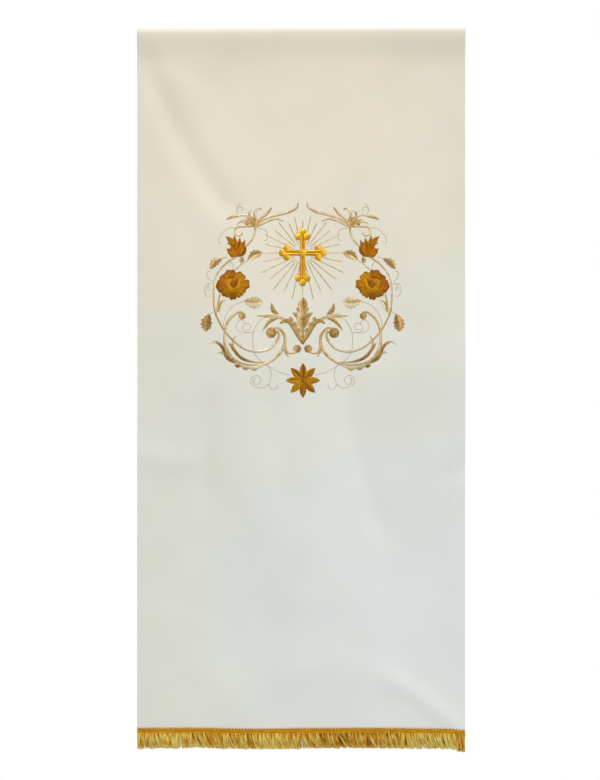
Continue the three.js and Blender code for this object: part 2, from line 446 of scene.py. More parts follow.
def thread_edges(name, ends, facings, loft, tone):
    """A mesh with one edge for each thread, whose two points carry its facing, loft and tone."""
    mesh = bpy.data.meshes.new(name)
    points = np.stack(ends, axis=1).reshape(-1, 3)
    mesh.from_pydata(points.tolist(), np.arange(len(points)).reshape(-1, 2).tolist(), [])
    facing = np.stack(facings, axis=1).astype(np.float32)
    mesh.attributes.new("facing", "FLOAT_VECTOR", "POINT").data.foreach_set("vector", facing.ravel())
    carry(mesh, "loft", np.repeat(loft, 2))
    carry(mesh, "tone", np.repeat(tone, 2))
    return mesh


def sew(name, stitches, finish, radius, points=4, sides=4, side=1.0):
    """Sews rows of (x0, z0, x1, z1, base, loft, tone) into the panel's face, or its back for side -1."""
    base = stitches[:, 4:5] + SHEET / 2
    ends, facings = [], []
    for place in (stitches[:, 0:2], stitches[:, 2:4]):
        facing = side * front_facing(place[:, 0], place[:, 1])
        ends.append(front_place(place[:, 0], place[:, 1]) + facing * base)
        facings.append(facing)
    mesh = thread_edges(name, ends, facings, stitches[:, 5], stitches[:, 6])
    sizes = {"Thread Radius": radius, "Points": points, "Sides": sides, "Finish": finish}
    return grown(name, mesh, THREAD_STITCHES, sizes)


def thread_finish(name, dark, middle, light, roughness, metallic, painted_end_shade=0.55):
    """Sewing thread: its tone runs from dark to light, with painted shade that darkens it towards both
    ends, where it sinks into the cloth.
    """
    material, shader, wire = new_finish(name)
    place = wire.add("ShaderNodeUVMap", uv_map="OFBake")
    colour = place.part(0).ramp([(0.0, dark), (0.5, middle), (1.0, light)])
    # Painted shade: the colour darkens towards both ends of each thread, where it sinks into the cloth.
    end_shade_mask = wire.math("ABSOLUTE", 2.0 * place.part(1) - 1.0) ** 4.0
    painted_shade_colour = tuple(channel * PAINTED_SHADE_DARKNESS for channel in linear(*dark))
    mixed = {0: painted_end_shade * end_shade_mask, 6: colour, 7: (*painted_shade_colour, 1.0)}
    shaded = wire.add("ShaderNodeMix", mixed, output=2, data_type="RGBA")
    wire.fill(shader, {
        "Base Color": shaded,
        "Roughness": roughness,
        "Metallic": metallic,
        "Specular IOR Level": 0.5,
    })
    return material


def stitch_rows(begin, end, base, loft, tone):
    rows = np.empty((len(begin), 7))
    rows[:, 0:2] = begin
    rows[:, 2:4] = end
    rows[:, 4] = base
    rows[:, 5] = loft
    rows[:, 6] = np.clip(tone, 0.0, 1.0)
    return rows


def hem_stitches():
    x = WIDTH / 2 - HEM_WIDTH + HEM_STITCH_INSET
    z = np.arange(BEND_CENTRE - HEM_STITCH_START, HEADING_TOP + HEM_STITCH_STOP, -HEM_STITCH_PITCH)
    rows = []
    for side in (-1.0, 1.0):
        begin = np.stack([np.full_like(z, side * x), z], axis=1)
        end = begin - np.array([0.0, HEM_STITCH])
        rows.append(stitch_rows(begin, end, -STITCH_SINK, HEM_STITCH_LOFT, HEM_STITCH_TONE))
    return np.concatenate(rows)


ivory_thread = thread_finish("ivory_thread", (222, 218, 200), (234, 231, 215), (240, 237, 224), 0.5, 0.0)
hem_stitching = sew("hem_stitching", hem_stitches(), ivory_thread, HEM_THREAD_RADIUS)


# The rays: fine straight lines of pale gold outline stitch that spread from behind the cross. Long
# and short ones take turns, and they are sewn straight through the cloth before the cross.
EMBLEM_X = 0.0022
EMBLEM_Z = -0.4128
EMBLEM_STRETCH = 1.01
RAY_CENTRE = (0.0, 71.5)
RAY_COUNT = 28
RAY_INNER = 14.0
RAY_REACH = 60.0
RAY_STEP = 3.5
RAY_DROP = 8.0
RAY_WIDTH = 1.8
RAY_TONE = 0.56
RAY_THREAD_RADIUS = 0.0005
RAY_POINTS = 40
OUTLINE_STITCH = 2.6
OUTLINE_LOFT = 0.22

# Stitches of the emblem are rows of (x0, y0, x1, y1, base, loft, tone), in millimetres from its
# middle, with y upwards.


def way_at(angle):
    return np.array([math.cos(angle), math.sin(angle)])


def evenly(path, step):
    lengths = np.concatenate([[0.0], np.cumsum(np.linalg.norm(np.diff(path, axis=0), axis=1))])
    at = np.linspace(0.0, lengths[-1], max(3, round(lengths[-1] / step) + 1))
    return np.stack([np.interp(at, lengths, path[:, k]) for k in (0, 1)], axis=1)


def along_and_across(path):
    along = np.gradient(path, axis=0)
    along /= np.linalg.norm(along, axis=1, keepdims=True)
    return along, np.stack([-along[:, 1], along[:, 0]], axis=1)


def wobble(count, seed, amount):
    """Small changes of tone: each thread's own, and one for every five that lie together."""
    together, shared_part = 5, 1.5
    change = np.random.default_rng(seed)
    own = change.uniform(-amount, amount, count)
    shared = np.repeat(change.uniform(-amount, amount, count // together + 1), together)[:count]
    return own + shared_part * shared


def outline(path, width, tone):
    """Outline stitch: short slanting stitches that overlap along a line, like a fine cord."""
    line = evenly(path, OUTLINE_STITCH / 2)
    side = along_and_across(line)[1] * (width / 4)
    begin = line[:-2] + side[:-2]
    end = line[2:] - side[2:]
    return stitch_rows(begin, end, 0.0, OUTLINE_LOFT, tone + wobble(len(begin), seed=3, amount=0.12))


def on_panel(rows):
    """Emblem rows as places on the panel, in metres."""
    placed = rows * MM
    placed[:, 6] = rows[:, 6]
    placed[:, [0, 2]] += EMBLEM_X
    placed[:, [1, 3]] = EMBLEM_STRETCH * placed[:, [1, 3]] + EMBLEM_Z
    placed[:, 4] -= STITCH_SINK
    return placed


def ray_stitches():
    rows = []
    for k in range(RAY_COUNT):
        angle = 2.0 * math.pi * k / RAY_COUNT - math.pi / 2
        way = way_at(angle)
        reach = RAY_REACH + (RAY_STEP if k % 2 else -RAY_STEP) + RAY_DROP * (way[0] ** 2 / 2 - way[1])
        line = np.array(RAY_CENTRE) + np.linspace(RAY_INNER, reach, RAY_POINTS)[:, None] * way
        rows.append(outline(line, RAY_WIDTH, RAY_TONE))
    return np.concatenate(rows)


pale_gold = thread_finish("pale_gold_thread", (150, 108, 44), (220, 186, 116), (255, 248, 218), 0.34, 0.55)
emblem_rays = sew(
    "emblem_rays", on_panel(ray_stitches()), pale_gold, RAY_THREAD_RADIUS
)


# The cross: bright gold satin stitch over padding, in the middle of the rays. Its arms are two
# slanting halves that meet in a ridge, and each ends in three round buds.
SATIN_PITCH = 0.46
LEAST_LOFT = 0.3
CROSS_ARMS = {
    # name: angle in degrees, length to the buds
    "upper": (90.0, 24.0),
    "left": (180.0, 23.0),
    "right": (0.0, 23.0),
    "lower": (270.0, 37.0),
}
CROSS_HALF = 5.0
CROSS_WAIST = 3.6
CROSS_BUD = 5.4
CROSS_BUD_TURN = 0.6
CROSS_BUD_PLACES = ((0.2, 1.15), (0.2, -1.15), (1.45, 0.0))  # outwards and aside, in buds' radii
CROSS_BOSS = 6.0
CROSS_LOFT = 1.5
CROSS_THREAD_RADIUS = 0.0003


def two_halves(line, half, forward, base, loft, tone, painted_sheen):
    """Stitches that slant outwards from a middle line to both its sides, the left one painted lighter and
    the right one darker, as painted sheen.
    """
    along, across = along_and_across(line)
    rows = []
    for side in (1.0, -1.0):
        reach = half[:, None] * (side * across + forward * along)
        # Painted sheen: the two halves of one thread get a lighter and a darker tone.
        shade = tone + side * painted_sheen + wobble(len(line), seed=7, amount=0.08)
        rows.append(stitch_rows(line, line + reach, base, loft, shade))
    return np.concatenate(rows)


def disc(centre, radius, angle, loft, tone=0.5, base=0.0):
    """A round spot of parallel stitches."""
    offset = np.arange(-radius + SATIN_PITCH / 2, radius, SATIN_PITCH)
    chord = np.sqrt(radius**2 - offset**2)[:, None]
    way = way_at(angle)
    line = np.array(centre) + offset[:, None] * np.array([-way[1], way[0]])
    level = loft * np.clip(chord[:, 0] / radius, LEAST_LOFT, 1.0)
    shade = tone + wobble(len(line), seed=9, amount=0.08)
    return stitch_rows(line - chord * way, line + chord * way, base, level, shade)


def cross_arm(angle, length):
    way = way_at(angle)
    aside = np.array([-way[1], way[0]])
    line = np.array(RAY_CENTRE) + np.linspace(0.0, length, round(length / SATIN_PITCH))[:, None] * way
    half = CROSS_WAIST + (CROSS_HALF - CROSS_WAIST) * np.linspace(0.0, 1.0, len(line)) ** 2
    rows = [two_halves(line, half, forward=0.6, base=0.5, loft=CROSS_LOFT, tone=0.52, painted_sheen=0.16)]
    tip = np.array(RAY_CENTRE) + length * way
    for step_out, step_aside in CROSS_BUD_PLACES:
        centre = tip + CROSS_BUD * (step_out * way + step_aside * aside)
        rows.append(disc(centre, CROSS_BUD, angle + CROSS_BUD_TURN, CROSS_LOFT, tone=0.6, base=0.4))
    return np.concatenate(rows)


def cross_stitches():
    arms = [cross_arm(math.radians(angle), length) for angle, length in CROSS_ARMS.values()]
    boss = disc(RAY_CENTRE, CROSS_BOSS, angle=0.7, loft=CROSS_LOFT, tone=0.75, base=1.2)
    return np.concatenate([*arms, boss])


bright_gold = thread_finish("bright_gold_thread", (196, 116, 0), (250, 186, 8), (255, 226, 90), 0.28, 0.5)
emblem_cross = sew(
    "emblem_cross", on_panel(cross_stitches()), bright_gold, CROSS_THREAD_RADIUS
)


# The scrolls: curling stems, plumes and volutes in pale gold satin stitch that frame the cross. They
# are drawn for the right-hand half and mirrored, as such emblems are.
# The tones along each scroll are painted sheen: lighter and darker stretches where the satin would catch
# the light or turn from it.
SCROLLS = {
    # name: points, widths along it, tones along it, any curl (wide radius, tight radius, turns)
    "long plume": (
        [(7, 147), (9, 139.5), (22, 133), (42, 128), (60, 120), (72, 111)],
        (1.2, 3.6, 3.8, 3.2, 2.4), (0.3, 0.85, 0.75, 0.4),
    ),
    "second plume": (
        [(47, 140), (54, 131.5), (63, 124), (73, 111)], (1.2, 3.6, 3.2, 2.0), (0.3, 0.7, 0.4),
    ),
    "under plume": (
        [(29, 119), (40, 123), (52, 120.5), (72, 110)], (1.4, 3.8, 3.6, 2.0), (0.7, 0.95, 0.6),
    ),
    "lily's outer petal": (
        [(76, 115), (79, 121), (83, 125), (88.5, 127.8), (95, 128.3), (101.5, 126.6), (108, 125.2),
         (116, 121.6)],
        (2.2, 3.0, 2.6, 2.4, 2.8, 3.4, 3.4, 1.0), (0.3, 0.5, 0.85, 0.9, 0.65, 0.4, 0.3),
    ),
    "lily's lower petal": (
        [(80, 117), (85, 120.5), (90, 121.4), (94.5, 119.5)],
        (2.0, 2.4, 2.2, 0.6), (0.35, 0.6, 0.8),
    ),
    "lily's under petal": (
        [(76, 113), (82, 116), (88.5, 117.6), (95.5, 117.5), (100, 114.5)],
        (1.6, 1.8, 1.4, 1.2, 0.6), (0.4, 0.6, 0.4),
    ),
    "lily's hook": (
        [(72, 112), (70.5, 120), (72, 125), (72.9, 130.6), (71.2, 135.5), (67.2, 138.6), (62.5, 137)],
        (1.6, 2.4, 2.8, 3.0, 2.6, 2.2, 2.0), (0.4, 0.45, 0.6, 0.65, 0.95, 0.3),
    ),
    "lily's second hook": (
        [(76, 117), (78.5, 124), (81, 128), (81.3, 132), (79.3, 135), (76.4, 134.2)],
        (2.0, 2.6, 2.8, 2.6, 1.6), (0.35, 0.5, 0.55, 0.9),
    ),
    "hanging curl": ([(74, 111.5), (86, 111), (96, 111)], (1.8, 2.4, 2.2), (0.45, 0.8), (8.0, 4.5, -0.72)),
    "lily's stem": ([(72, 112), (73, 101), (77, 91.5), (86, 81.5)], (2.4, 2.2, 1.8), (0.4, 0.8, 0.5)),
    "vine": (
        [(100, 66), (112, 59), (123, 49), (132, 36), (135.5, 20), (135.5, -2), (133.5, -18), (128.5, -30),
         (119.5, -46), (107, -60), (89, -73.5), (70, -78), (52, -74), (41, -64), (36, -53), (39, -46.5)],
        (1.8, 2.0, 2.0, 2.2, 2.4, 2.8, 3.4, 2.8), (0.5, 0.7, 0.45, 0.55, 0.9, 0.45),
    ),
    "vine's second strand": ([(126, 9), (128.5, -3), (131.5, -20)], (1.3, 1.7, 1.3), (0.4, 0.6)),
    "raised curl": (
        [(105, -91), (111.5, -83.5), (115.5, -76.5), (118, -69), (119, -60), (118.6, -50), (117, -41),
         (113.5, -32), (108, -25), (102, -20.3), (96.5, -18.2), (92, -18.8)],
        (3.0, 4.8, 4.4, 3.2, 3.0, 3.2, 3.2, 3.0, 2.2), (0.4, 0.65, 0.5, 0.65, 0.5, 0.5, 0.75, 0.5),
    ),
    "volute": (
        [(102, -90), (94.5, -94.8), (85.5, -97.2), (75, -98.2), (64, -98), (54, -95.2), (46, -90.5),
         (39, -85), (31, -75.5), (27, -65), (27.5, -55), (31.5, -47.5), (38, -42.5), (47, -42.5)],
        (0.8, 2.0, 2.2, 2.6, 3.2, 3.6, 3.8, 3.6, 3.0, 2.2),
        (0.4, 0.5, 0.65, 0.75, 0.5, 0.55, 0.4, 0.7),
    ),
    "acanthus belly": (
        [(104, -92.5), (98, -97), (90, -99.8), (80, -101.4), (70, -101.4), (59, -98.5)],
        (3.0, 4.6, 4.8, 4.4, 3.4, 1.0), (0.45, 0.7, 0.85, 0.9, 0.8),
    ),
    "acanthus crest": (
        [(142.5, -69), (139.5, -64.6), (134, -63.3), (127.5, -66), (121.7, -73), (118, -81.5), (113, -88),
         (104, -92)],
        (0.8, 2.4, 3.4, 3.6, 4.0, 5.0, 6.0, 6.0), (0.7, 0.85, 0.3, 0.12, 0.2, 0.1, 0.2),
    ),
    "acanthus spur": ([(119.5, -82), (125, -78.6), (130.5, -80.5)], (2.4, 2.8, 0.8), (0.5, 0.9)),
    "inner horn": (
        [(102.5, -54), (105.8, -60), (106.8, -67.5), (105, -74), (101, -80.5), (95.5, -86), (89, -89.8),
         (80, -92.6), (69.5, -94.3), (57, -94)],
        (0.8, 2.4, 3.2, 3.8, 3.8, 3.2, 2.4, 2.2, 1.6), (0.5, 0.45, 0.3, 0.12, 0.12, 0.4, 0.65, 0.5),
    ),
    "inner blade": ([(112.5, -64.5), (109.3, -69.5), (106, -76)], (0.8, 2.2, 1.8), (0.3, 0.12)),
    "volute's spur": ([(27, -70), (25.5, -78), (21.5, -86.5)], (2.6, 3.6, 0.6), (0.35, 0.6)),
    "ball's stem": ([(26, -74), (21, -80), (14, -80), (9, -76)], (1.6, 2.0, 2.2), (0.4, 0.6)),
}
SCROLL_LOFT = 0.6
SCROLL_LIGHT = 0.08
PATH_STEP = 0.5
CURVE_STEPS = 32
FULLNESS = 1.27
LEAST_SATIN_LOFT = 0.25
LEAF_SLANT = 0.75
TOOTH_DEPTH = 0.38
PALE_THREAD_RADIUS = 0.00027
SCROLL_SPOTS = {
    # name: centre, radius
    "end of the raised curl": ((92.5, -24), 5.2),
    "eye of the volute": ((48, -49.5), 7.8),
    "ball under the palmette": ((8.4, -73.6), 5.9),
}
SCALLOPS = [
    # root, tip, half width, tone
    ((94, -96), (103.5, -98.6), 2.9, 0.26),
    ((81, -100.5), (92, -102.6), 2.3, 0.5),
    ((68, -102), (79, -104), 1.9, 0.55),
]


def path_through(points, curl=None, step=PATH_STEP):
    """Places a step apart along a smooth curve through the points, carried on into a curl if asked."""
    given = np.array(points, dtype=float)
    knots = np.vstack([2 * given[0] - given[1], given, 2 * given[-1] - given[-2]])
    t = np.linspace(0.0, 1.0, CURVE_STEPS, endpoint=False)[:, None]
    pieces = []
    for a, b, c, d in zip(knots, knots[1:], knots[2:], knots[3:]):
        square, cube = 2 * a - 5 * b + 4 * c - d, 3 * b - a - 3 * c + d
        cubic = cube * t**3 + square * t**2 + (c - a) * t + 2 * b
        pieces.append(cubic / 2)
    path = evenly(np.vstack([*pieces, given[-1:]]), step)
    return curled(path, *curl) if curl else path


def curled(path, wide, tight, turns):
    """The path with a curl that tightens from one radius to another. Positive turns go left."""
    step = np.linalg.norm(path[-1] - path[-2])
    heading = math.atan2(*(path[-1] - path[-2])[::-1])
    total = abs(turns) * 2.0 * math.pi
    turned = 0.0
    places = [path[-1]]
    while turned < total:
        bend = step / (wide + (tight - wide) * turned / total)
        turned += bend
        heading += math.copysign(bend, turns)
        places.append(places[-1] + step * way_at(heading))
    return np.vstack([path, places[1:]])


def spread_along(values, count):
    """Values given at even shares of a line, worked out for each of its places."""
    return np.interp(np.linspace(0.0, 1.0, count), np.linspace(0.0, 1.0, len(values)), values)


def satin(path, widths, tones, loft, base=0.0, slant=0.35):
    """Satin stitch: threads side by side across a line, with widths and tones given along it."""
    line = evenly(path, SATIN_PITCH)
    along, across = along_and_across(line)
    half = FULLNESS * spread_along(widths, len(line)) / 2
    reach = (across + slant * along) * half[:, None]
    level = loft * np.clip(2 * half / max(widths), LEAST_SATIN_LOFT, 1.0)
    tone = spread_along(tones, len(line)) + wobble(len(line), seed=5, amount=0.08)
    return stitch_rows(line + reach, line - reach, base, level, tone)


def leaf(
    root, tip, half, bend=0.0, teeth=0, tone=0.5, base=0.0, loft=0.5, rise=0.66, point=0.9, painted_sheen=0.14
):
    """A leaf or petal in two halves that meet along its middle vein, with toothed edges if asked."""
    root, tip = np.array(root, dtype=float), np.array(tip, dtype=float)
    run = tip - root
    middle = (root + tip) / 2 + bend * np.array([-run[1], run[0]])
    line = path_through([root, middle, tip], step=SATIN_PITCH)
    share = np.linspace(0.0, 1.0, len(line))
    width = np.sin(math.pi * share**rise) ** point
    if teeth:
        width *= (1.0 - TOOTH_DEPTH) + TOOTH_DEPTH * np.mod(1.0 - share * teeth, 1.0)
    level = loft * np.clip(width, LEAST_LOFT, 1.0)
    return two_halves(line, FULLNESS * half * width, LEAF_SLANT, base, level, tone, painted_sheen)


def both_sides(rows):
    """The rows and their mirror image to the left of the emblem's middle."""
    flipped = rows.copy()
    flipped[:, [0, 2]] *= -1.0
    return np.concatenate([rows, flipped])


def scroll_stitches():
    rows = []
    for points, widths, tones, *curl in SCROLLS.values():
        path = path_through(points, *curl)
        rows.append(satin(path, widths, np.add(tones, SCROLL_LIGHT), SCROLL_LOFT))
    for centre, radius in SCROLL_SPOTS.values():
        rows.append(disc(centre, radius, angle=0.5, loft=0.9, tone=0.34, base=0.2))
    for root, tip, half, tone in SCALLOPS:
        rows.append(leaf(root, tip, half, bend=-0.1, tone=tone, base=0.2))
    return both_sides(np.concatenate(rows))


emblem_scrolls = sew(
    "emblem_scrolls", on_panel(scroll_stitches()), pale_gold, PALE_THREAD_RADIUS
)


# The leaves and the palmette: pale gold satin stitch in two slanting halves, with toothed edges on
# the broad ones. The palmette stands in the middle, under the cross.
LEAVES = {
    # name: root, tip, half width, bend, teeth, tone
    "inner upper leaf": ((84, 60.5), (61.5, 71.5), 6.0, -0.10, 5, 0.5),
    "outer upper leaf": ((123, 62.5), (141.5, 46.5), 5.2, 0.10, 5, 0.36),
    "bud's sepal": ((92, 66), (94, 56), 2.6, 0.0, 0, 0.4),
    "pale leaf": ((90, -1.5), (60.5, -3), 8.0, 0.05, 6, 0.78),
    "small vine leaf": ((128.5, -19), (118, 1), 2.9, -0.12, 0, 0.7),
    "outer lower leaf": ((142.5, -20.5), (147.5, -48), 7.6, 0.05, 5, 0.32),
    "sprig's long leaf": ((22.5, -28.8), (74, -24), 2.7, 0.06, 0, 0.78),
    "sprig's upper leaf": ((36, -23.5), (48, -4), 2.8, -0.14, 0, 0.32),
    "sprig's lower leaf": ((35, -25), (61.5, -47), 2.2, 0.12, 0, 0.4),
    "lily's bell": ((74, 111.5), (84, 124), 5.0, 0.1, 0, 0.36),
    "lily's lobe": ((79, 119), (87.5, 113), 2.8, 0.1, 0, 0.28),
}
PALMETTE_LOBES = {
    # name: root, tip, half width, bend, teeth, tone, base
    "side frond's lower barb": ((9, -51), (4.8, -41.5), 2.6, 0.1, 0, 0.42, 0.2),
    "side frond's middle barb": ((14, -43), (11, -33), 2.8, 0.1, 0, 0.42, 0.2),
    "side frond's upper barb": ((19, -36), (18.8, -25), 2.8, 0.1, 0, 0.42, 0.2),
    "heart's wing": ((3, -36), (15.2, -18.6), 3.0, 0.14, 0, 0.42, 0.3),
    "heart's shoulder": ((1, -27), (9.4, -11.5), 3.4, 0.16, 0, 0.46, 0.4),
    "heart's collar": ((1, -17), (6.6, -5), 2.8, 0.16, 0, 0.4, 0.4),
}
PALMETTE_FROND = [
    (0.5, -65), (4.4, -57), (8.2, -50), (12.4, -42.6), (17.2, -36), (21.4, -32.6), (25.8, -31.4),
    (30, -32.4), (33.6, -35.6),
]
PALMETTE_FROND_WIDTHS = (2.2, 4.8, 6.0, 6.6, 6.6, 6.2, 5.6, 4.6, 2.2)
PALMETTE_STEM = [(0, -40), (0, -52), (0, -63)]
PALMETTE_LOFT = 0.8
PALMETTE_HEART = [
    # root, tip, half width
    ((0, -45), (0, -14), 7.6),
    ((0, -22), (0.4, 4.5), 5.4),
]


def palmette_stitches():
    lobes = np.concatenate([leaf(*lobe) for lobe in PALMETTE_LOBES.values()])
    frond = satin(path_through(PALMETTE_FROND), PALMETTE_FROND_WIDTHS, (0.42, 0.5, 0.4), PALMETTE_LOFT)
    stem = satin(path_through(PALMETTE_STEM), (3.0, 2.2, 3.0), (0.35, 0.3), PALMETTE_LOFT, base=0.3)
    heart = [leaf(*row, tone=0.44, base=0.5, loft=PALMETTE_LOFT) for row in PALMETTE_HEART]
    return np.concatenate([both_sides(np.concatenate([frond, lobes])), stem, *heart])


def leaf_stitches():
    rows = [leaf(*row) for row in LEAVES.values()]
    return np.concatenate([both_sides(np.concatenate(rows)), palmette_stitches()])


emblem_leaves = sew(
    "emblem_leaves", on_panel(leaf_stitches()), pale_gold, PALE_THREAD_RADIUS
)


# The tendrils: fine curling lines of outline stitch between the scrolls and the flowers.
# They are sewn in the pale gold thread, each in one run from its stem outwards.
TENDRILS = [
    # points, any curl (wide radius, tight radius, turns)
    ([(70, 109), (57, 106), (54, 98)], (8.0, 5.0, 0.3)),
    ([(100, 110), (116, 107), (126, 96)], (10.0, 4.0, -0.3)),
    ([(97, 128), (101, 136), (97, 140)], (4.0, 2.0, 0.6)),
    ([(101, 134), (99, 142), (94, 146)],),
    ([(83, 61), (94, 53), (104, 45)],),
    ([(93, 57), (97, 50), (101, 46)],),
    ([(112, 59), (107, 54), (106, 47)],),
    ([(115, 63), (118, 65), (123, 62)],),
    ([(138, 27), (144, 33), (146, 39)], (4.0, 2.5, 0.5)),
    ([(138, 24), (146, 25), (150, 17), (148, 8)], (5.0, 3.0, -0.4)),
    ([(142, 24), (146, 19)], (3.0, 2.2, -0.9)),
    ([(89, -2), (103, -7), (114, -18), (120, -32), (121, -45)],),
    ([(135, -18), (139, -19), (142, -23)],),
    ([(48, -25), (63, -29), (74, -45), (76, -60), (74, -80), (61, -95)],),
    ([(76, -49), (94, -49), (101, -42), (100, -35)], (7.0, 4.0, 0.55)),
    ([(76, -49), (84, -49)], (8.0, 4.0, 1.1)),
    ([(52, -99), (48, -112), (51.5, -126)], (8.0, 5.0, -0.6)),
    ([(52, -127), (61, -133), (72, -131)], (9.4, 4.0, 1.45)),
    ([(56, -98), (38, -108), (18, -114)],),
]
TENDRIL_WIDTH = 0.8
TENDRIL_TONE = 0.25
TENDRIL_THREAD_RADIUS = 0.00024


def tendril_stitches():
    rows = [outline(path_through(*tendril), TENDRIL_WIDTH, TENDRIL_TONE) for tendril in TENDRILS]
    return both_sides(np.concatenate(rows))


emblem_tendrils = sew(
    "emblem_tendrils", on_panel(tendril_stitches()), pale_gold, TENDRIL_THREAD_RADIUS
)


# The roses, buds and star flower: amber satin stitch. A rose is two rings of uneven petals round a
# folded heart, over a dark disc of painted shade between the petals and with dark strokes of painted
# shadow under its folds; a bud is a fan of pointed petals, and the star has eight petals in two halves
# each.
ROSE_CENTRE = (106.4, 23)
ROSE_PETALS = [
    # angle, spread, inner radius, outer radius, base, tone
    (76, 54, 7.0, 24.5, 0.15, 0.42),
    (129, 56, 7.0, 23.6, 0.0, 0.66),
    (177, 46, 7.0, 25.4, 0.15, 0.3),
    (206, 40, 7.0, 22.4, 0.0, 0.55),
    (238, 44, 7.0, 22.6, 0.1, 0.6),
    (272, 36, 7.0, 24.2, 0.0, 0.2),
    (310, 46, 7.0, 23.2, 0.1, 0.36),
    (352, 62, 7.0, 25.6, 0.05, 0.15),
    (36, 54, 7.0, 23.2, 0.0, 0.2),
    (48, 80, 3.0, 14.6, 0.6, 0.6),
    (5, 62, 3.0, 12.6, 0.7, 0.46),
    (285, 104, 3.0, 14.0, 0.6, 0.66),
    (196, 84, 3.0, 13.4, 0.7, 0.68),
    (128, 76, 3.0, 14.4, 0.6, 0.7),
]
# A dark disc of stitches under the petals, as painted shade between them.
ROSE_UNDER_SHADE = (12.0, 0.05)  # radius, tone
# Dark strokes under the folded petals, as painted shadow.
ROSE_FOLD_SHADOWS = [
    # root, tip, half width, bend, tone
    ((98.5, 33), (103, 16.5), 4.2, 0.15, 0.1),
    ((99, 32), (110, 24), 2.6, 0.0, 0.16),
    ((103, 34.5), (116.5, 31.5), 1.3, 0.1, 0.05),
    ((96, 12.5), (113, 12), 1.0, -0.1, 0.3),
]
ROSE_SQUASH = 0.94
ROSE_NOTCH = 0.22
ROSE_RUFFLE = 0.03
ROSE_RUFFLES = 7.0
ROSE_FAN = 0.8
PETAL_STEP = 0.1
BUD_BODY = ((96.8, 76), 11.2, 0.26)  # centre, radius, tone
BUD_ROOT = (99, 66)
BUD_PETALS = [
    # root, tip, half width, tone
    (BUD_ROOT, (113, 70.5), 3.4, 0.52),
    (BUD_ROOT, (116, 77.5), 4.4, 0.48),
    (BUD_ROOT, (87.6, 91), 3.8, 0.4),
    (BUD_ROOT, (108.5, 85), 4.8, 0.48),
    (BUD_ROOT, (95.6, 94.4), 3.8, 0.36),
    (BUD_ROOT, (92.5, 84), 3.0, 0.46),
    ((101.5, 78), (104.5, 98), 2.2, 0.42),
    ((101.5, 83), (117, 96.3), 2.9, 0.5),
    ((102, 85), (114.8, 86.3), 2.5, 0.56),
]
STAR_CENTRE = (0.4, -121.3)
STAR_TONES = (0.72, 0.5, 0.35, 0.4, 0.7, 0.68, 0.3, 0.36)
STAR_REACH = 26.2
STAR_HALF = 4.0
STAR_EYE = 3.0
KNOT = ((0.3, -63.5), 2.8)  # centre, radius
AMBER_LOFT = 0.8
AMBER_THREAD_RADIUS = 0.00028


def petal(centre, angle, spread, inner, outer, base, tone):
    """A broad petal of threads that fan outwards, with a shallow wavy edge."""
    angle, spread = math.radians(angle), math.radians(spread)
    turn = np.arange(-spread / 2, spread / 2, SATIN_PITCH / outer)
    share = 2.0 * turn / spread
    edge = 1.0 - ROSE_NOTCH * share**4 + ROSE_RUFFLE * np.cos(ROSE_RUFFLES * share + angle)
    near, far = angle + ROSE_FAN * turn, angle + turn
    squash = np.array([1.0, ROSE_SQUASH])
    begin = np.array(centre) + inner * np.stack([np.cos(near), np.sin(near)], axis=1) * squash
    fan = np.stack([np.cos(far), np.sin(far)], axis=1)
    end = np.array(centre) + outer * edge[:, None] * fan * squash
    return stitch_rows(begin, end, base, AMBER_LOFT, tone + wobble(len(turn), seed=13, amount=0.1))


def bud_stitches():
    centre, radius, shade = BUD_BODY
    rows = [disc(centre, radius, angle=1.2, loft=0.3, tone=shade)]
    look = {"loft": AMBER_LOFT, "rise": 0.62, "point": 1.1, "painted_sheen": 0.06}
    for k, (root, tip, half, tone) in enumerate(BUD_PETALS):
        rows.append(leaf(root, tip, half, tone=tone, base=PETAL_STEP * k, **look))
    return np.concatenate(rows)


def star_stitches():
    rows = []
    for k, tone in enumerate(STAR_TONES):
        angle = 2.0 * math.pi * k / len(STAR_TONES)
        tip = np.array(STAR_CENTRE) + STAR_REACH * way_at(angle)
        level = PETAL_STEP * (k % 2)
        rows.append(leaf(STAR_CENTRE, tip, STAR_HALF, tone=tone, base=level, loft=AMBER_LOFT, rise=0.72))
    rows.append(disc(STAR_CENTRE, STAR_EYE, angle=0.4, loft=0.7, tone=0.2, base=0.6))
    return np.concatenate(rows)


def flower_stitches():
    radius, shade = ROSE_UNDER_SHADE
    rose = [disc(ROSE_CENTRE, radius, angle=0.3, loft=0.3, tone=shade)]
    rose += [petal(ROSE_CENTRE, *row) for row in ROSE_PETALS]
    rose += [leaf(*shape, tone=tone, base=1.1) for *shape, tone in ROSE_FOLD_SHADOWS]
    pairs = both_sides(np.concatenate([*rose, bud_stitches()]))
    knot = disc(*KNOT, angle=0.4, loft=0.8, tone=0.6, base=0.6)
    return np.concatenate([pairs, star_stitches(), knot])


amber = thread_finish("amber_thread", (158, 84, 0), (198, 132, 0), (216, 174, 14), 0.5, 0.66)
emblem_flowers = sew(
    "emblem_flowers", on_panel(flower_stitches()), amber, AMBER_THREAD_RADIUS
)


# The emblem's reverse: the under thread of its stitches, which shows on the back of the cloth as flat
# ivory lines with a trace of the gold and some painted shade at their ends. It is sewn in one go with
# the face, and each line stands for three.
REVERSE_STEP = 3
REVERSE_LOFT = 0.00012
REVERSE_THREAD_RADIUS = 0.0004


def reverse_stitches():
    shapes = [ray_stitches(), cross_stitches(), scroll_stitches(), leaf_stitches()]
    shapes += [tendril_stitches(), flower_stitches()]
    rows = on_panel(np.concatenate(shapes))[::REVERSE_STEP]
    rows[:, 4] = -STITCH_SINK
    rows[:, 5] = REVERSE_LOFT
    return rows


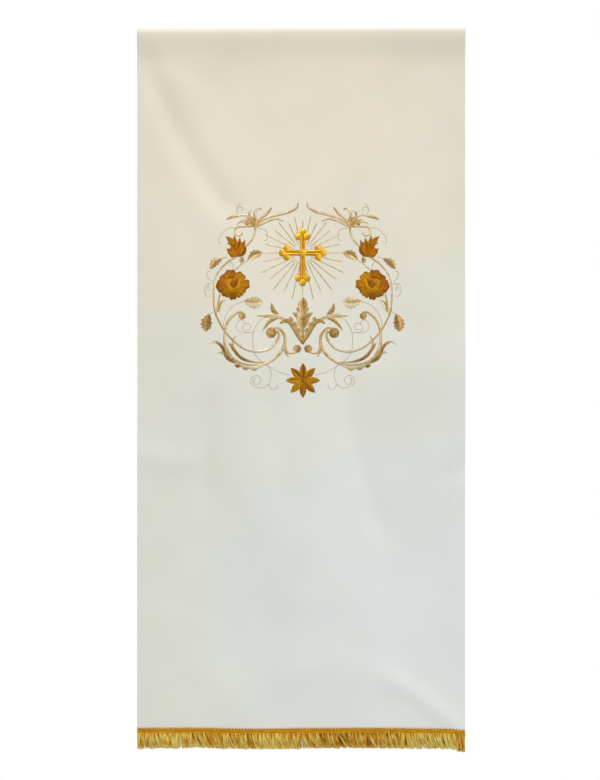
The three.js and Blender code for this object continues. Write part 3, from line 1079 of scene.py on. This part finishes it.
under_thread = thread_finish("under_thread", (176, 148, 92), (214, 202, 170), (230, 224, 206), 0.5, 0.0)
emblem_reverse = sew(
    "emblem_reverse", reverse_stitches(), under_thread, REVERSE_THREAD_RADIUS,
    points=3, sides=3, side=-1.0,
)


# The fringe's tape: a narrow woven strip of gold yarn, sewn over the foot of the panel. It carries
# the braid and the roots of the strands, and it shows between the plaits and from behind.
HEADING_HEIGHT = 0.0080
HEADING_STANDOFF = 0.0018
TAPE_THICKNESS = 0.0010
TAPE_OUT = -0.0003
TAPE_ROUND = 0.0004
TAPE_STEP = 0.004
TAPE_TOP = 0.0002
FACING_LIFT = 0.004


def hem_place(x, below):
    """Points on the middle of the foot, a depth below the heading's top edge, and their facing."""
    top = np.full_like(x, HEADING_TOP)
    place = front_place(x, top)
    place[..., 2] -= below
    facing = front_facing(x, top + FACING_LIFT)
    facing[..., 2] = 0.0
    return place, facing / np.linalg.norm(facing, axis=-1, keepdims=True)


def tape_mesh():
    """A flat strip along the foot, with rounded edges and closed ends."""
    x = np.linspace(-WIDTH / 2 + TAPE_ROUND, WIDTH / 2 - TAPE_ROUND, round(WIDTH / TAPE_STEP))
    half = TAPE_THICKNESS / 2
    high, low = TAPE_TOP, HEADING_HEIGHT
    section = [
        # depth below the heading's top edge, distance out from the tape's middle
        (high, half - TAPE_ROUND), (high, TAPE_ROUND - half), (high + TAPE_ROUND, -half),
        (low - TAPE_ROUND, -half), (low, TAPE_ROUND - half), (low, half - TAPE_ROUND),
        (low - TAPE_ROUND, half), (high + TAPE_ROUND, half),
    ]
    rows = []
    for below, out in section:
        place, facing = hem_place(x, below)
        rows.append(place + facing * (HEADING_STANDOFF + TAPE_OUT + out))
    loops = np.stack(rows, axis=1)
    walls, index = loop_walls(loops)
    mesh = bpy.data.meshes.new("fringe_tape")
    caps = [index[0][::-1].tolist(), index[-1].tolist()]
    mesh.from_pydata(loops.reshape(-1, 3).tolist(), [], walls.tolist() + caps)
    return mesh


def woven_gold_finish():
    """Gold tape: fine upright yarns in two close tones, with a low rib across."""
    material, shader, wire = new_finish("woven_gold_tape")
    yarn_pitch, rib_pitch = 0.0009, 0.0012
    place = wire.add("ShaderNodeTexCoord", output=3)
    yarn = wire.math("SINE", place.part(0) * (2.0 * math.pi / yarn_pitch))
    rib = wire.math("SINE", place.part(2) * (2.0 * math.pi / rib_pitch))
    bump = wire.add("ShaderNodeBump", {"Height": yarn * rib, "Strength": 0.5, "Distance": 0.0002})
    tint = (0.5 + 0.5 * yarn).ramp([(0.0, (176, 106, 0)), (1.0, (214, 146, 4))])
    wire.fill(shader, {"Base Color": tint, "Roughness": 0.42 + 0.08 * rib, "Normal": bump})
    return material


tape = tape_mesh()
tape.materials.append(woven_gold_finish())
fringe_tape = new_piece("fringe_tape", tape)


# The fringe's heading: a gold braid worked over the tape. Four rows of slanting stitches make its
# plaits, and a row of small loops along its top gives it a finely toothed edge. The loops are sewn
# dark, as painted shadow in the gaps between the teeth.
BRAID_PITCH = 0.0016
BRAID_ROWS = 4
BRAID_LEAN = 0.7
BRAID_LOFT = 0.0005
BRAID_RADIUS = 0.00054
PLAIT_GAP = 0.0001
PLAIT_OVERLAP = 0.0003
PICOT_STEP = 3
PICOT_RISE = 0.0015
# The picots take the darkest tone of the braid's thread, as painted shadow between the teeth.
PICOT_SHADOW_TONE = 0.04


def braid_mesh():
    """The plaits of the braid and the picots along its top, as one edge for each thread."""
    row_height = HEADING_HEIGHT / BRAID_ROWS
    count = round((WIDTH - BRAID_PITCH) / BRAID_PITCH)
    left = np.linspace(-WIDTH / 2, WIDTH / 2 - BRAID_PITCH, count) + BRAID_PITCH * (1.0 - BRAID_LEAN) / 2
    right = left + BRAID_PITCH * BRAID_LEAN
    threads = []
    for row in range(BRAID_ROWS):
        upper, lower = (left, right) if row % 2 else (right, left)
        high, low = row * row_height + PLAIT_GAP, (row + 1) * row_height + PLAIT_OVERLAP
        threads.append((upper, high, lower, low, 0.5 + wobble(count, seed=19 + row, amount=0.1)))
    picot = left[::PICOT_STEP] + BRAID_PITCH / 2
    tone = PICOT_SHADOW_TONE + wobble(len(picot), seed=29, amount=0.02)
    threads.append((picot, -PICOT_RISE, picot, PICOT_RISE, tone))
    parts = []
    for upper, high, lower, low, tone in threads:
        begin, facing = hem_place(upper, high)
        end = hem_place(lower, low)[0]
        parts.append((begin + facing * HEADING_STANDOFF, end + facing * HEADING_STANDOFF, facing, tone))
    begin, end, facing, tone = (np.concatenate(column) for column in zip(*parts))
    loft = np.full(len(tone), BRAID_LOFT)
    return thread_edges("fringe_heading", (begin, end), (facing, facing), loft, tone)


heading_gold = thread_finish("gold_braid", (140, 72, 0), (240, 178, 0), (254, 212, 30), 0.38, 0.6)
fringe_heading = grown(
    "fringe_heading", braid_mesh(), THREAD_STITCHES,
    {"Thread Radius": BRAID_RADIUS, "Points": 5, "Sides": 5, "Finish": heading_gold},
)
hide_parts("fringe")


# The fringe's strands: thousands of fine gold threads that hang from the tape, cut a little uneven.
# They lie in two layers of loose locks that lean across each other, with a longer tuft at the right.
FRINGE_LENGTH = 0.031
STRAND_COUNT = 6000
STRAND_ROOT = 0.0014
STRAND_SEED = 4
STRAND_SIZES = {
    "Length": FRINGE_LENGTH - HEADING_HEIGHT + STRAND_ROOT,
    "Length Scatter": 0.0034,
    "Drift Lean": 0.8,
    "Lock Lean": 0.9,
    "Strand Lean": 0.13,
    "Drift Width": 0.045,
    "Lock Width": 0.0075,
    "Streak Width": 0.003,
    "Depth": 0.0044,
    "Belly": 0.0012,
    "Thread Radius": 0.00032,
}
STRAND_TONE = 0.46
STREAK_CONTRAST = 2.3
FINE_STREAK_CONTRAST = 3.0
DRIFT_CONTRAST = 1.1
# Painted highlight on the strands: a light band of tone at a height along each lock, where it would catch
# the light: its middle, its play from lock to lock and its width.
GLEAM_PLACE = 0.38
GLEAM_PLAY = 2.0
GLEAM_WIDTH = 0.2
# How much the strand's own tone, the painted highlight and the painted light at its tip add to its shade.
TONE_PART = 0.64
GLEAM_PART = 0.56
TIP_PAINTED_LIGHT = 0.5
ROOT_SCATTER = 0.0002
STRAND_POINTS = 6
STRAND_SIDES = 3
GUIDE_POINTS = 240
GUIDE_INSET = 0.0008
TUFT_DROP = 0.0018
TUFT_WIDTH = 0.017
TUFT_DROP_FADE = 0.004
# Painted shade: the tuft's strands are darker in tone, apart from its outer end.
TUFT_SHADE = 0.4
TUFT_SHADE_FADE = 0.003
UPRIGHT_END = 0.018
# Painted highlight: the strands at the left end are lighter in tone.
END_HIGHLIGHT = 0.5
END_WIDTH = 0.005
END_FADE = 0.002
# Broad spans of the strands that are lighter or darker: the middle, the half width and the tone.
SPANS = ((-0.19, 0.05, 0.12), (-0.09, 0.036, -0.24), (0.076, 0.05, -0.62))


def strand_guide():
    """The line that the strands hang from, inside the braid, with each part's extra length and play."""
    x = np.linspace(-WIDTH / 2 + GUIDE_INSET, WIDTH / 2 - GUIDE_INSET, GUIDE_POINTS)
    place, facing = hem_place(x, HEADING_HEIGHT - STRAND_ROOT)
    points = place + facing * HEADING_STANDOFF
    mesh = bpy.data.meshes.new("fringe_strands")
    links = np.stack([np.arange(len(x) - 1), np.arange(1, len(x))], axis=1)
    mesh.from_pydata(points.tolist(), links.tolist(), [])
    in_tuft = x - WIDTH / 2 + TUFT_WIDTH
    extra = TUFT_DROP * smooth(in_tuft / TUFT_DROP_FADE)
    play = smooth((WIDTH / 2 - np.abs(x)) / UPRIGHT_END)
    inner = smooth(in_tuft / TUFT_SHADE_FADE) * smooth((WIDTH / 2 - END_FADE - x) / END_FADE)
    # The tint holds painted highlight at the left end, painted shade over the tuft, and the broad spans.
    tint = END_HIGHLIGHT * smooth((-x - WIDTH / 2 + END_WIDTH) / END_FADE) - TUFT_SHADE * inner
    tint = tint + sum(tone * np.exp(-(((x - middle) / half) ** 2)) for middle, half, tone in SPANS)
    for name, values in (("extra", extra), ("play", play), ("tint", tint)):
        carry(mesh, name, values)
    return mesh


def strand_tree():
    """Hangs strands from a line: each a bent thread with its own length, lean and tone, and a painted
    highlight on it.

    The odd numbers added to a place keep one unevenness from repeating another.
    """
    sizes = dict.fromkeys(STRAND_SIZES, "Float")
    sizes.update({"Strands": "Int", "Seed": "Int", "Finish": "Material"})
    wire, inputs = new_tree("hanging_strands", sizes)
    line, length, scatter, drift_lean, lock_lean, strand_lean, drift_width, lock_width = inputs[:8]
    streak_width, depth, belly, radius, strands, seed, finish = inputs[8:]
    kept = wire.kept

    def chance(low, high, turn):
        """A random value for each strand, with draws of its own for each turn."""
        values = {2: low, 3: high, "Seed": seed + turn}
        return wire.add("FunctionNodeRandomValue", values, output=1, data_type="FLOAT")

    def uneven(place):
        """A smooth noise along the fringe, to both sides of 0."""
        values = {"W": place, "Scale": 1.0, "Detail": 1.0}
        return wire.add("ShaderNodeTexNoise", values, noise_dimensions="1D") - 0.5

    line = wire.add("GeometryNodeMeshToCurve", {"Mesh": line})
    roots = wire.add("GeometryNodeCurveToPoints", {"Curve": line, "Count": strands}, mode="COUNT")
    place = wire.add("GeometryNodeInputPosition").part(0)
    layer = wire.math("ROUND", chance(0.0, 1.0, 6))
    lean = (uneven(place / drift_width) + 0.3) * drift_lean + chance(-1.0, 1.0, 1) * strand_lean
    lean = lean + uneven(place / lock_width + 9.7 * layer) * lock_lean
    streak, fine_streak = place / streak_width + 5.3 * layer, place / streak_width * 1.8 + 4.1 * layer
    tone = STRAND_TONE + STREAK_CONTRAST * uneven(streak) + chance(-0.2, 0.2, 3)
    tone = tone + FINE_STREAK_CONTRAST * uneven(fine_streak)
    tone = tone + DRIFT_CONTRAST * uneven(place / drift_width + 2.7) + kept("tint")
    painted_highlight_at = GLEAM_PLAY * uneven(place / lock_width * 1.7 + 7.7 * layer)
    painted_highlight_at = GLEAM_PLACE + painted_highlight_at + chance(-0.2, 0.2, 8)
    roots = wire.keep(roots, "lean", lean * kept("play"))
    roots = wire.keep(roots, "drop", length + kept("extra") + chance(-1.0, 0.35, 2) * scatter)
    roots = wire.keep(roots, "tone", wire.math("MINIMUM", wire.math("MAXIMUM", tone, 0.02), 0.98))
    roots = wire.keep(roots, "painted_highlight_at", painted_highlight_at)
    back = (layer - 0.5) * 0.3 + (0.5 - kept("tone")) * 0.2 + chance(-0.2, 0.2, 4)
    roots = wire.keep(roots, "back", back * depth)
    bow = 0.9 + 1.8 * uneven(place / lock_width + 3.1 * layer) + chance(-0.3, 0.3, 7)
    roots = wire.keep(roots, "bow", bow * belly)
    scatter_x = chance(-ROOT_SCATTER, ROOT_SCATTER, 5)
    shift = wire.add("ShaderNodeCombineXYZ", {"X": scatter_x, "Y": kept("back") * 0.35})
    roots = wire.add("GeometryNodeSetPosition", {"Geometry": roots, "Offset": shift})
    ends = {"Start": (0.0, 0.0, 0.0), "End": (0.0, 0.0, -1.0)}
    strand = wire.add("GeometryNodeCurvePrimitiveLine", ends)
    parts = {"Curve": strand, "Count": STRAND_POINTS}
    strand = wire.add("GeometryNodeResampleCurve", parts, mode="COUNT")
    scale = wire.add("ShaderNodeCombineXYZ", {"X": 1.0, "Y": 1.0, "Z": kept("drop")})
    hung = wire.add("GeometryNodeInstanceOnPoints", {"Points": roots, "Instance": strand, "Scale": scale})
    hung = wire.add("GeometryNodeRealizeInstances", {"Geometry": hung})
    share = wire.add("GeometryNodeSplineParameter")
    aside = kept("lean") * (share ** 1.4) * kept("drop")
    bow = kept("bow") * wire.math("SINE", (share ** 0.8) * math.pi)
    rise = wire.math("ABSOLUTE", aside) * 0.18
    bend = wire.add("ShaderNodeCombineXYZ", {"X": aside, "Y": kept("back") * share - bow, "Z": rise})
    hung = wire.add("GeometryNodeSetPosition", {"Geometry": hung, "Offset": bend})
    # Painted highlight at a height along each strand, and painted light that grows towards its tip.
    off = (kept("along") - kept("painted_highlight_at")) / GLEAM_WIDTH
    painted_highlight = wire.math("EXPONENT", off * off * -1.0)
    shade = TONE_PART * kept("tone") + GLEAM_PART * painted_highlight + TIP_PAINTED_LIGHT * kept("along") ** 5.0
    spin_thread(wire, hung, radius, STRAND_SIDES, wire.math("MINIMUM", shade, 1.0), finish)
    return wire.tree


strand_gold = thread_finish("gold_strands", (112, 34, 0), (244, 174, 0), (255, 250, 142), 0.3, 0.08, 0.0)
fringe_strands = grown(
    "fringe_strands", strand_guide(), strand_tree(),
    {**STRAND_SIZES, "Strands": STRAND_COUNT, "Seed": STRAND_SEED, "Finish": strand_gold},
)


# The floor, the light and the camera: a white floor under the hanging cloth, soft light from above
# with a warm glow on the upper half and a cool one on the lower, and a long lens straight in front.
FLOOR_Z = -1.24
FLOOR_HALF = 6.0
FLOOR_SHADE = (0.12, 0.40)  # how far the shadow shows, and where it has faded out
WHITE = (1.0, 1.0, 1.0, 1.0)
KEY_SOFTNESS = 30.0
KEY_LIGHT = {
    "power": 2.26, "colour": (1.0, 0.99, 0.97), "place": (0.16, -0.62, 0.76), "aim": (0.0, 0.0, 0.0)
}
SOFT_LIGHTS = {
    # name: power, colour, place, aim, size, spread in degrees
    "upper_light": (0.16, (1.0, 0.72, 0.48), (0.08, -1.4, -0.2), (0.08, 0.0, -0.2), 0.3, 50.0),
    "lower_light": (0.42, (0.1, 0.36, 1.0), (0.5, -1.4, -0.95), (0.14, 0.0, -0.86), 0.4, 50.0),
    "crest_light": (0.01, (1.0, 0.7, 0.5), (-0.34, -0.03, 0.22), (-0.22, 0.0, 0.0), 0.06, 70.0),
    "corner_light": (0.062, (1.0, 0.5, 0.2), (-0.2, -1.4, -0.06), (-0.18, 0.0, -0.12), 0.3, 40.0),
    "back_light": (30.0, (1.0, 0.98, 0.95), (0.7, 2.0, 0.9), (0.0, 0.0, -0.5), 1.4, 180.0),
}
CAMERA_LENS = 85.0
SENSOR = 36.0
PICTURE_HEIGHT = 780
METRES_PER_PIXEL = 0.001522
VIEW_X = -0.0019
VIEW_Z = -0.5501


def white_floor_finish():
    """White near the cloth, where its soft shadow falls, and plain white paper light further off."""
    material, shader, wire = new_finish("white_floor")
    wire.fill(shader, {"Base Color": (0.9, 0.9, 0.9, 1.0), "Roughness": 0.8})
    place = wire.add("ShaderNodeTexCoord", output=3)
    level = wire.add("ShaderNodeVectorMath", {0: place, 1: (1.0, 1.0, 0.0)}, operation="MULTIPLY")
    distance = wire.add("ShaderNodeVectorMath", {0: level}, output=1, operation="LENGTH")
    begin, end = FLOOR_SHADE
    limits = {"Value": distance, "From Min": begin, "From Max": end}
    far = wire.add("ShaderNodeMapRange", limits, interpolation_type="SMOOTHSTEP")
    paper = wire.add("ShaderNodeEmission", {"Color": WHITE, "Strength": 1.0})
    seen = wire.add("ShaderNodeMixShader", {0: far, 1: Wire(wire.tree, shader.outputs[0]), 2: paper})
    dull = wire.add("ShaderNodeBsdfDiffuse", {"Color": (0.42, 0.42, 0.42, 1.0)})
    both = wire.add("ShaderNodeMixShader", {0: wire.add("ShaderNodeLightPath"), 1: dull, 2: seen})
    wire.fill(wire.tree.nodes["Material Output"], {"Surface": both})
    return material


def floor():
    mesh = bpy.data.meshes.new("floor")
    corners = [(-1, -1), (1, -1), (1, 1), (-1, 1)]
    mesh.from_pydata([(x * FLOOR_HALF, y * FLOOR_HALF, FLOOR_Z) for x, y in corners], [], [(0, 1, 2, 3)])
    mesh.materials.append(white_floor_finish())
    plane = bpy.data.objects.new("floor", mesh)
    bpy.context.collection.objects.link(plane)


def lamp(name, kind, power, colour, place, aim):
    """A lamp at a place, turned towards another, that the camera doesn't see."""
    light = bpy.data.lights.new(name, kind)
    light.energy = power
    light.color = colour
    holder = bpy.data.objects.new(name, light)
    bpy.context.collection.objects.link(holder)
    holder.location = place
    holder.rotation_euler = (Vector(aim) - Vector(place)).to_track_quat("-Z", "Y").to_euler()
    holder.visible_camera = False
    return light


def surroundings():
    """A white surround that the camera sees as white, and that lights the cloth less than that."""
    world = bpy.data.worlds.new("studio")
    bpy.context.scene.world = world
    world.use_nodes = True
    wire = Wire(world.node_tree)
    wire.tree.nodes.clear()
    lighting = wire.add("ShaderNodeBackground", {"Color": (0.93, 1.0, 0.99, 1.0), "Strength": 0.34})
    seen = wire.add("ShaderNodeBackground", {"Color": WHITE, "Strength": 1.0})
    both = wire.add("ShaderNodeMixShader", {0: wire.add("ShaderNodeLightPath"), 1: lighting, 2: seen})
    wire.fill(wire.tree.nodes.new("ShaderNodeOutputWorld"), {"Surface": both})


def photograph_camera():
    camera = bpy.data.cameras.new("camera")
    camera.lens = CAMERA_LENS
    camera.sensor_width = SENSOR
    distance = PICTURE_HEIGHT * METRES_PER_PIXEL * CAMERA_LENS / SENSOR
    holder = bpy.data.objects.new("camera", camera)
    bpy.context.collection.objects.link(holder)
    holder.location = (VIEW_X, -BEND_RADIUS - distance, VIEW_Z)
    holder.rotation_euler = (math.pi / 2, 0.0, 0.0)
    bpy.context.scene.camera = holder


floor()
key = lamp("key_light", "SUN", **KEY_LIGHT)
key.angle = math.radians(KEY_SOFTNESS)
for name, (*values, size, spread) in SOFT_LIGHTS.items():
    light = lamp(name, "AREA", *values)
    light.size = size
    light.spread = math.radians(spread)
surroundings()
photograph_camera()
bpy.context.scene.view_settings.view_transform = "Standard"
